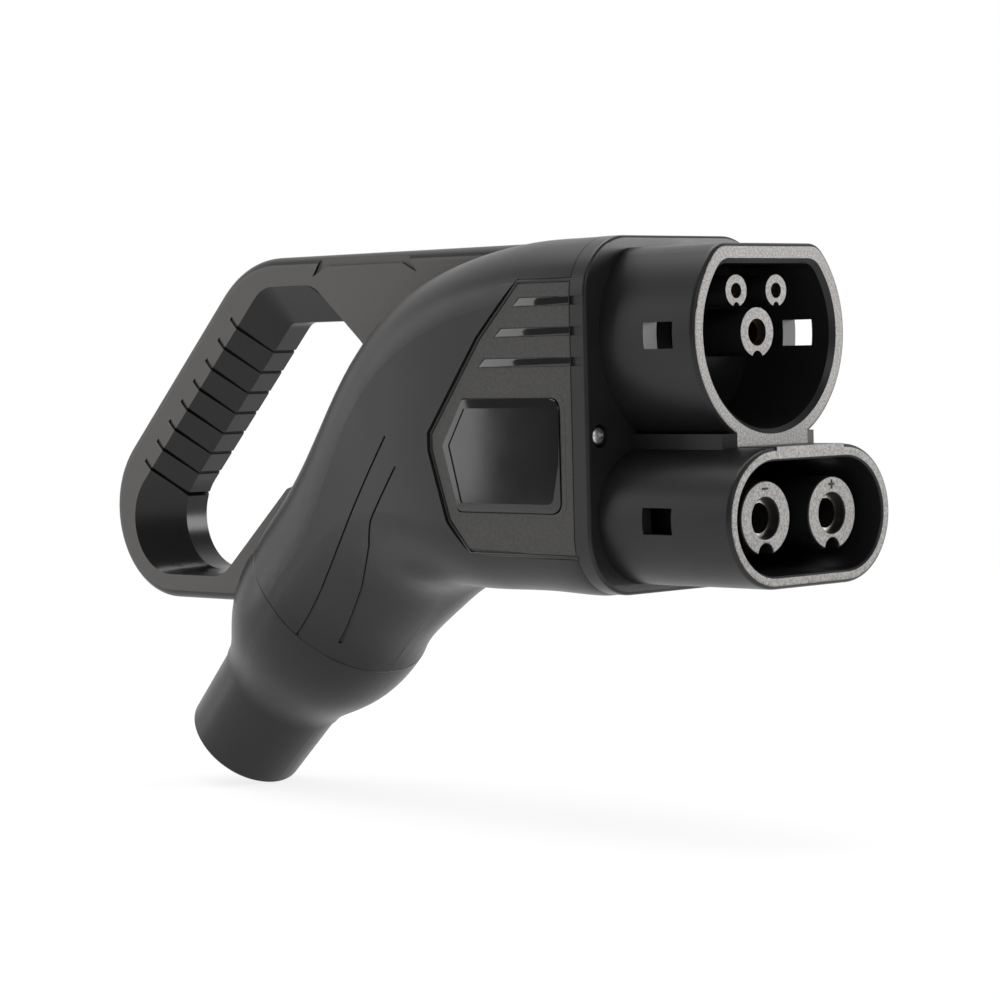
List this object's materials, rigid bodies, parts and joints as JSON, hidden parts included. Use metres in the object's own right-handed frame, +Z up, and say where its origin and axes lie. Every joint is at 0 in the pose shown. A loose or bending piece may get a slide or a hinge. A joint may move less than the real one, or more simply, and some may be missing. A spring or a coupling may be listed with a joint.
{
  "type": "ev charging connector",
  "caption": "Combined AC/DC electric-vehicle charging plug: two-shroud nose with contact sockets, pistol body, closed D-shaped handle and angled cable sleeve.",
  "frame": {"origin": "centre of the round AC shroud, on its rim plane, on the axis of the earth socket", "axes": "+X is the direction of mating, +Z is up towards the flat of the AC shroud, Y is across, with the XZ plane as the plane of symmetry"},
  "size_m": [0.2782, 0.0722, 0.1618],
  "materials": {
    "nose_plastic": "fine satin moulded",
    "shell_plastic": "satin moulded, with a fine-grained field on each flank",
    "gloss_trim": "piano gloss",
    "brass_contact": "turned",
    "silver_contact": "turned and silver-plated",
    "screw_steel": "bright zinc",
    "seal_rubber": "matte"
  },
  "bodies": {
    "root": {"bars_left": "gloss_trim", "bars_right": "gloss_trim", "cable_seal": "seal_rubber", "cable_sleeve": "shell_plastic", "cp_contact": "brass_contact", "cp_insulator": "nose_plastic", "dc_minus_contact": "silver_contact", "dc_minus_insulator": "nose_plastic", "dc_plus_contact": "silver_contact", "dc_plus_insulator": "nose_plastic", "front_collar": "shell_plastic", "inset_left": "gloss_trim", "inset_right": "gloss_trim", "main_shell": "shell_plastic", "nose_housing": "nose_plastic", "nose_screws": "screw_steel", "pe_contact": "brass_contact", "pe_insulator": "nose_plastic", "pp_contact": "brass_contact", "pp_insulator": "nose_plastic", "rear_collar": "shell_plastic"}
  },
  "joints": []
}
